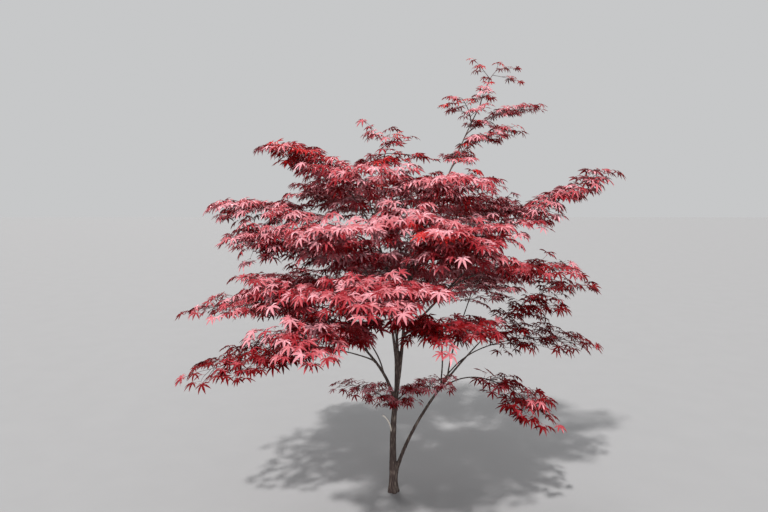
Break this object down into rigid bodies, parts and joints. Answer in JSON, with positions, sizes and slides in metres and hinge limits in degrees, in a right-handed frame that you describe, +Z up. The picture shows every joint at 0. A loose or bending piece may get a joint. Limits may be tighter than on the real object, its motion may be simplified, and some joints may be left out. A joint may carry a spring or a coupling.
{
  "type": "japanese maple tree",
  "caption": "Small red-leaved maple tree: a short trunk with steep forking limbs, a leaning leader and flat layered sprays of lobed leaves, cut level with the ground.",
  "frame": {"origin": "centre of the trunk's flat cut at ground level", "axes": "+Z up, +X to the viewer's right in the picture, -Y towards the viewer"},
  "size_m": [2.3441, 2.0796, 2.3032],
  "materials": {
    "bark": "rough",
    "dead_bark": "rough",
    "foliage": "satin"
  },
  "bodies": {
    "root": {"trunk": "bark", "left_leader_limb": "bark", "left_bough_limb": "bark", "right_stem_limb": "bark", "right_bough_limb": "bark", "front_bough_limb": "bark", "left_low_limb": "bark", "left_high_limb": "bark", "left_middle_limb": "bark", "front_left_limb": "bark", "front_left_low_limb": "bark", "front_centre_limb": "bark", "front_high_limb": "bark", "front_right_limb": "bark", "front_right_high_limb": "bark", "right_high_limb": "bark", "right_low_limb": "bark", "right_skirt_limb": "bark", "upper_front_limb": "bark", "top_limb": "bark", "back_left_high_limb": "bark", "back_left_limb": "bark", "back_high_limb": "bark", "back_centre_limb": "bark", "back_right_high_limb": "bark", "back_right_limb": "bark", "dead_stub": "dead_bark", "left_leader_foliage": "foliage", "left_bough_foliage": "foliage", "right_stem_foliage": "foliage", "right_bough_foliage": "foliage", "front_bough_foliage": "foliage", "left_low_foliage": "foliage", "left_high_foliage": "foliage", "left_middle_foliage": "foliage", "front_left_foliage": "foliage", "front_left_low_foliage": "foliage", "front_centre_foliage": "foliage", "front_high_foliage": "foliage", "front_right_foliage": "foliage", "front_right_high_foliage": "foliage", "right_high_foliage": "foliage", "right_low_foliage": "foliage", "right_skirt_foliage": "foliage", "upper_front_foliage": "foliage", "top_foliage": "foliage", "back_left_high_foliage": "foliage", "back_left_foliage": "foliage", "back_high_foliage": "foliage", "back_centre_foliage": "foliage", "back_right_high_foliage": "foliage", "back_right_foliage": "foliage", "crown_tip_foliage": "foliage", "tier_left_foliage": "foliage", "tier_right_foliage": "foliage", "inner_front_foliage": "foliage", "neck_foliage": "foliage", "inner_right_foliage": "foliage", "low_left_foliage": "foliage", "low_right_foliage": "foliage"}
  },
  "joints": []
}
